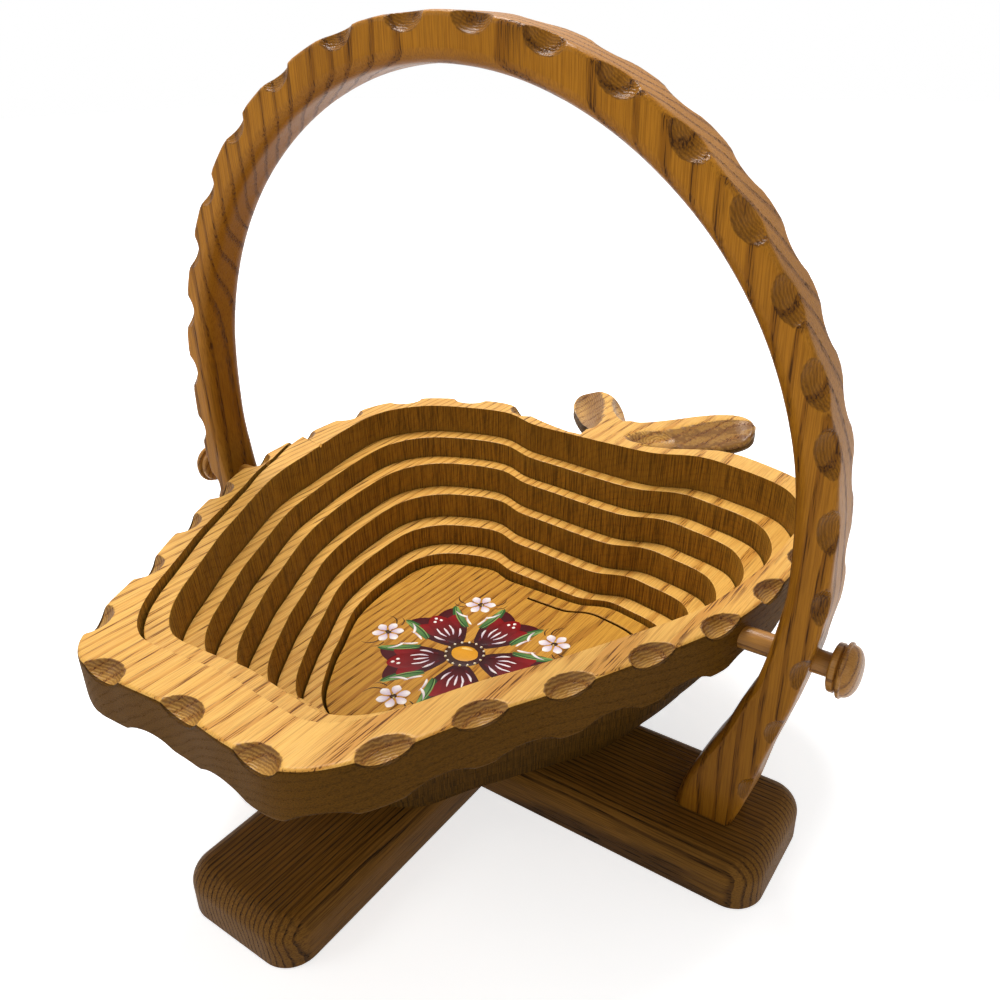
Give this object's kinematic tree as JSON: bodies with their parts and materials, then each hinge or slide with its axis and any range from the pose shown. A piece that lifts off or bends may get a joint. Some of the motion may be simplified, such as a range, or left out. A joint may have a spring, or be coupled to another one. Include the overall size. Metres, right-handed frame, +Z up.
{
  "type": "collapsible wooden basket",
  "caption": "Apple-shaped wooden basket sawn as one spiral that drops open into a bowl, hung on pegs in an arch handle on crossed feet.",
  "frame": {"origin": "underside of the long foot, in the middle of the crossing of the feet", "axes": "+X along the long foot and the pegs, +Y towards the back of the basket where the stem and leaf are, +Z up"},
  "size_m": [0.3132, 0.3091, 0.28],
  "materials": {
    "basket": "golden varnished hardwood with strong brown grain",
    "handle": "brown varnished hardwood",
    "foot": "dark brown varnished hardwood",
    "peg": "dark brown varnished turned wood",
    "screw": "plain steel"
  },
  "bodies": {
    "frame": {"long_foot": "foot", "cross_foot": "foot", "arch_handle": "handle", "outer_ring": "basket", "left_leg_screw": "screw", "right_leg_screw": "screw", "left_crossing_screw": "screw", "right_crossing_screw": "screw"},
    "coil_01": {"coil_strip_01": "basket"},
    "coil_02": {"coil_strip_02": "basket"},
    "coil_03": {"coil_strip_03": "basket"},
    "coil_04": {"coil_strip_04": "basket"},
    "coil_05": {"coil_strip_05": "basket"},
    "coil_06": {"coil_strip_06": "basket"},
    "coil_07": {"coil_strip_07": "basket"},
    "coil_08": {"coil_strip_08": "basket"},
    "coil_09": {"coil_strip_09": "basket"},
    "coil_10": {"coil_strip_10": "basket"},
    "coil_11": {"coil_strip_11": "basket"},
    "coil_12": {"coil_strip_12": "basket"},
    "coil_13": {"coil_strip_13": "basket"},
    "coil_14": {"coil_strip_14": "basket"},
    "coil_15": {"coil_strip_15": "basket"},
    "coil_16": {"coil_strip_16": "basket"},
    "coil_17": {"coil_strip_17": "basket"},
    "coil_18": {"coil_strip_18": "basket"},
    "coil_19": {"coil_strip_19": "basket"},
    "coil_20": {"coil_strip_20": "basket"},
    "coil_21": {"coil_strip_21": "basket"},
    "coil_22": {"coil_strip_22": "basket"},
    "floor": {"basket_floor": "basket"},
    "left_peg": {"left_peg": "peg"},
    "right_peg": {"right_peg": "peg"}
  },
  "joints": [
    {"name": "coil_01_lift", "type": "slide", "parent": "frame", "child": "coil_01", "axis": [0, 0, 1], "range_m": [0, 0.00192]},
    {"name": "coil_02_lift", "type": "slide", "parent": "frame", "child": "coil_02", "axis": [0, 0, 1], "range_m": [0, 0.00625]},
    {"name": "coil_03_lift", "type": "slide", "parent": "frame", "child": "coil_03", "axis": [0, 0, 1], "range_m": [0, 0.01471]},
    {"name": "coil_04_lift", "type": "slide", "parent": "frame", "child": "coil_04", "axis": [0, 0, 1], "range_m": [0, 0.01367]},
    {"name": "coil_05_lift", "type": "slide", "parent": "frame", "child": "coil_05", "axis": [0, 0, 1], "range_m": [0, 0.01584]},
    {"name": "coil_06_lift", "type": "slide", "parent": "frame", "child": "coil_06", "axis": [0, 0, 1], "range_m": [0, 0.01889]},
    {"name": "coil_07_lift", "type": "slide", "parent": "frame", "child": "coil_07", "axis": [0, 0, 1], "range_m": [0, 0.02607]},
    {"name": "coil_08_lift", "type": "slide", "parent": "frame", "child": "coil_08", "axis": [0, 0, 1], "range_m": [0, 0.02393]},
    {"name": "coil_09_lift", "type": "slide", "parent": "frame", "child": "coil_09", "axis": [0, 0, 1], "range_m": [0, 0.02667]},
    {"name": "coil_10_lift", "type": "slide", "parent": "frame", "child": "coil_10", "axis": [0, 0, 1], "range_m": [0, 0.03028]},
    {"name": "coil_11_lift", "type": "slide", "parent": "frame", "child": "coil_11", "axis": [0, 0, 1], "range_m": [0, 0.03802]},
    {"name": "coil_12_lift", "type": "slide", "parent": "frame", "child": "coil_12", "axis": [0, 0, 1], "range_m": [0, 0.03637]},
    {"name": "coil_13_lift", "type": "slide", "parent": "frame", "child": "coil_13", "axis": [0, 0, 1], "range_m": [0, 0.03902]},
    {"name": "coil_14_lift", "type": "slide", "parent": "frame", "child": "coil_14", "axis": [0, 0, 1], "range_m": [0, 0.04253]},
    {"name": "coil_15_lift", "type": "slide", "parent": "frame", "child": "coil_15", "axis": [0, 0, 1], "range_m": [0, 0.05018]},
    {"name": "coil_16_lift", "type": "slide", "parent": "frame", "child": "coil_16", "axis": [0, 0, 1], "range_m": [0, 0.0484]},
    {"name": "coil_17_lift", "type": "slide", "parent": "frame", "child": "coil_17", "axis": [0, 0, 1], "range_m": [0, 0.05061]},
    {"name": "coil_18_lift", "type": "slide", "parent": "frame", "child": "coil_18", "axis": [0, 0, 1], "range_m": [0, 0.05369]},
    {"name": "coil_19_lift", "type": "slide", "parent": "frame", "child": "coil_19", "axis": [0, 0, 1], "range_m": [0, 0.0609]},
    {"name": "coil_20_lift", "type": "slide", "parent": "frame", "child": "coil_20", "axis": [0, 0, 1], "range_m": [0, 0.05871]},
    {"name": "coil_21_lift", "type": "slide", "parent": "frame", "child": "coil_21", "axis": [0, 0, 1], "range_m": [0, 0.06068]},
    {"name": "coil_22_lift", "type": "slide", "parent": "frame", "child": "coil_22", "axis": [0, 0, 1], "range_m": [0, 0.06303]},
    {"name": "floor_lift", "type": "slide", "parent": "frame", "child": "floor", "axis": [0, 0, 1], "range_m": [0, 0.0642]},
    {"name": "left_peg_pull", "type": "slide", "parent": "frame", "child": "left_peg", "axis": [-1, 0, 0], "range_m": [0, 0.038]},
    {"name": "right_peg_pull", "type": "slide", "parent": "frame", "child": "right_peg", "axis": [1, 0, 0], "range_m": [0, 0.038]}
  ],
  "couplings": [
    {"joint": "coil_01_lift", "follows": "floor_lift", "ratio": 0.029852},
    {"joint": "coil_02_lift", "follows": "floor_lift", "ratio": 0.097346},
    {"joint": "coil_03_lift", "follows": "floor_lift", "ratio": 0.22909},
    {"joint": "coil_04_lift", "follows": "floor_lift", "ratio": 0.21282},
    {"joint": "coil_05_lift", "follows": "floor_lift", "ratio": 0.24672},
    {"joint": "coil_06_lift", "follows": "floor_lift", "ratio": 0.29426},
    {"joint": "coil_07_lift", "follows": "floor_lift", "ratio": 0.40605},
    {"joint": "coil_08_lift", "follows": "floor_lift", "ratio": 0.37269},
    {"joint": "coil_09_lift", "follows": "floor_lift", "ratio": 0.41535},
    {"joint": "coil_10_lift", "follows": "floor_lift", "ratio": 0.47164},
    {"joint": "coil_11_lift", "follows": "floor_lift", "ratio": 0.59218},
    {"joint": "coil_12_lift", "follows": "floor_lift", "ratio": 0.56654},
    {"joint": "coil_13_lift", "follows": "floor_lift", "ratio": 0.6077},
    {"joint": "coil_14_lift", "follows": "floor_lift", "ratio": 0.66249},
    {"joint": "coil_15_lift", "follows": "floor_lift", "ratio": 0.78153},
    {"joint": "coil_16_lift", "follows": "floor_lift", "ratio": 0.75387},
    {"joint": "coil_17_lift", "follows": "floor_lift", "ratio": 0.78827},
    {"joint": "coil_18_lift", "follows": "floor_lift", "ratio": 0.83631},
    {"joint": "coil_19_lift", "follows": "floor_lift", "ratio": 0.9486},
    {"joint": "coil_20_lift", "follows": "floor_lift", "ratio": 0.91449},
    {"joint": "coil_21_lift", "follows": "floor_lift", "ratio": 0.94519},
    {"joint": "coil_22_lift", "follows": "floor_lift", "ratio": 0.98173}
  ]
}
